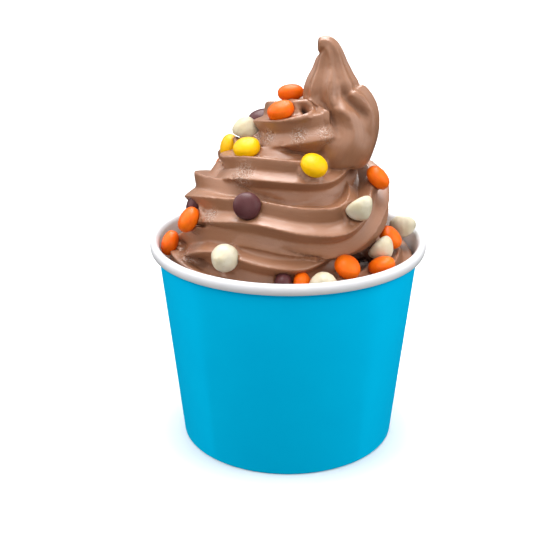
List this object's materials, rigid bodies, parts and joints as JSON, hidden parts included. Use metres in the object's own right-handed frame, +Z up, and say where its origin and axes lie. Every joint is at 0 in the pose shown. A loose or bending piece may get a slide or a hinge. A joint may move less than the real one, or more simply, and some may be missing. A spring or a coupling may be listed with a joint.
{
  "type": "frozen yogurt cup",
  "caption": "Paper cup heaped with a ridged, curled swirl of chocolate frozen yogurt, strewn with sugar-shelled candies and white baking chips.",
  "frame": {"origin": "middle of the cup's foot, on the surface it stands on", "axes": "+Z up along the cup's axis; the side that is seen first looks towards -Y, and the leaning peak stands towards +X"},
  "size_m": [0.112, 0.112, 0.1667],
  "materials": {
    "blue_paper": "satin",
    "white_paper": "satin",
    "chocolate_yogurt": "satin",
    "orange_candy": "gloss",
    "yellow_candy": "gloss",
    "brown_candy": "gloss",
    "white_chip": "satin"
  },
  "bodies": {
    "root": {"cup_wall": "blue_paper", "cup_base": "white_paper", "frozen_yogurt": "chocolate_yogurt", "orange_candy_01": "orange_candy", "orange_candy_02": "orange_candy", "orange_candy_03": "orange_candy", "orange_candy_04": "orange_candy", "orange_candy_05": "orange_candy", "orange_candy_06": "orange_candy", "orange_candy_07": "orange_candy", "orange_candy_08": "orange_candy", "orange_candy_09": "orange_candy", "orange_candy_10": "orange_candy", "orange_candy_11": "orange_candy", "orange_candy_12": "orange_candy", "yellow_candy_01": "yellow_candy", "yellow_candy_02": "yellow_candy", "yellow_candy_03": "yellow_candy", "yellow_candy_04": "yellow_candy", "yellow_candy_05": "yellow_candy", "brown_candy_01": "brown_candy", "brown_candy_02": "brown_candy", "brown_candy_03": "brown_candy", "brown_candy_04": "brown_candy", "brown_candy_05": "brown_candy", "brown_candy_06": "brown_candy", "white_chip_01": "white_chip", "white_chip_02": "white_chip", "white_chip_03": "white_chip", "white_chip_04": "white_chip", "white_chip_05": "white_chip", "white_chip_06": "white_chip", "white_chip_07": "white_chip", "white_chip_08": "white_chip"}
  },
  "joints": []
}
